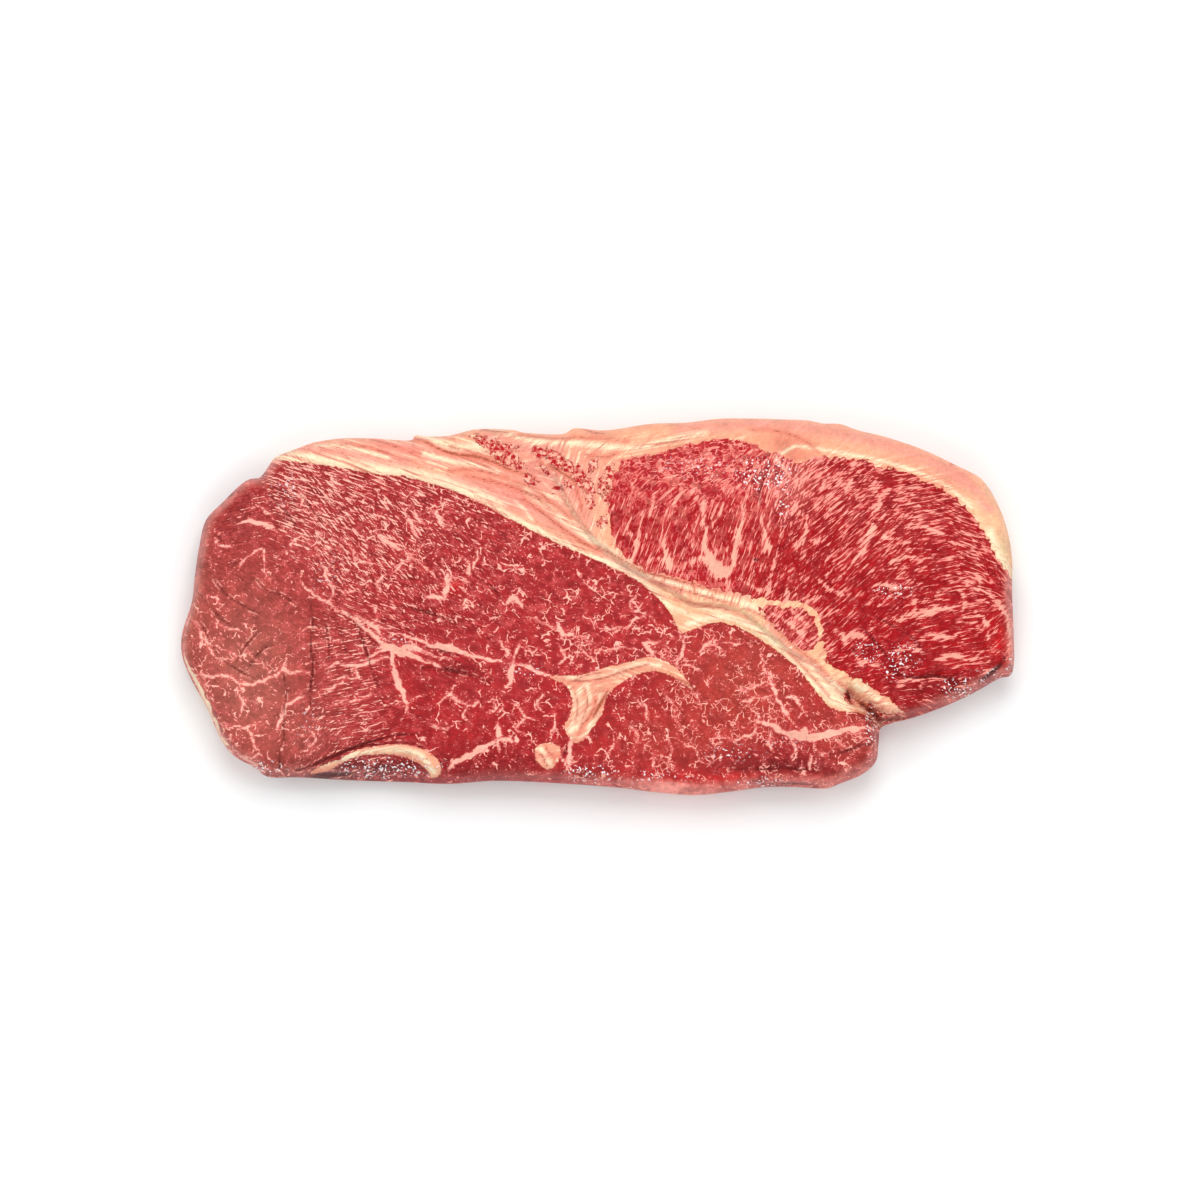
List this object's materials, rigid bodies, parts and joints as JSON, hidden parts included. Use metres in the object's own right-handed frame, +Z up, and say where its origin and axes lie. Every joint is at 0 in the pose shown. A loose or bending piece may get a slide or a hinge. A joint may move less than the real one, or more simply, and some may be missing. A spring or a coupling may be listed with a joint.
{
  "type": "raw sirloin steak",
  "caption": "Whole raw sirloin steak lying flat: marbled slice with a fat rim, a diagonal fat seam and a cleft at the front right.",
  "frame": {"origin": "on the flat resting face, at the middle of the slice's length and width", "axes": "+X along the slice towards the marbled cap end, +Y towards the long fat rim at the back, +Z up out of the cut face"},
  "size_m": [0.28, 0.127, 0.0242],
  "materials": {
    "raw_beef": "raw red beef with cream and salmon fat, moist and softly glossy"
  },
  "bodies": {
    "root": {"steak": "raw_beef"}
  },
  "joints": []
}
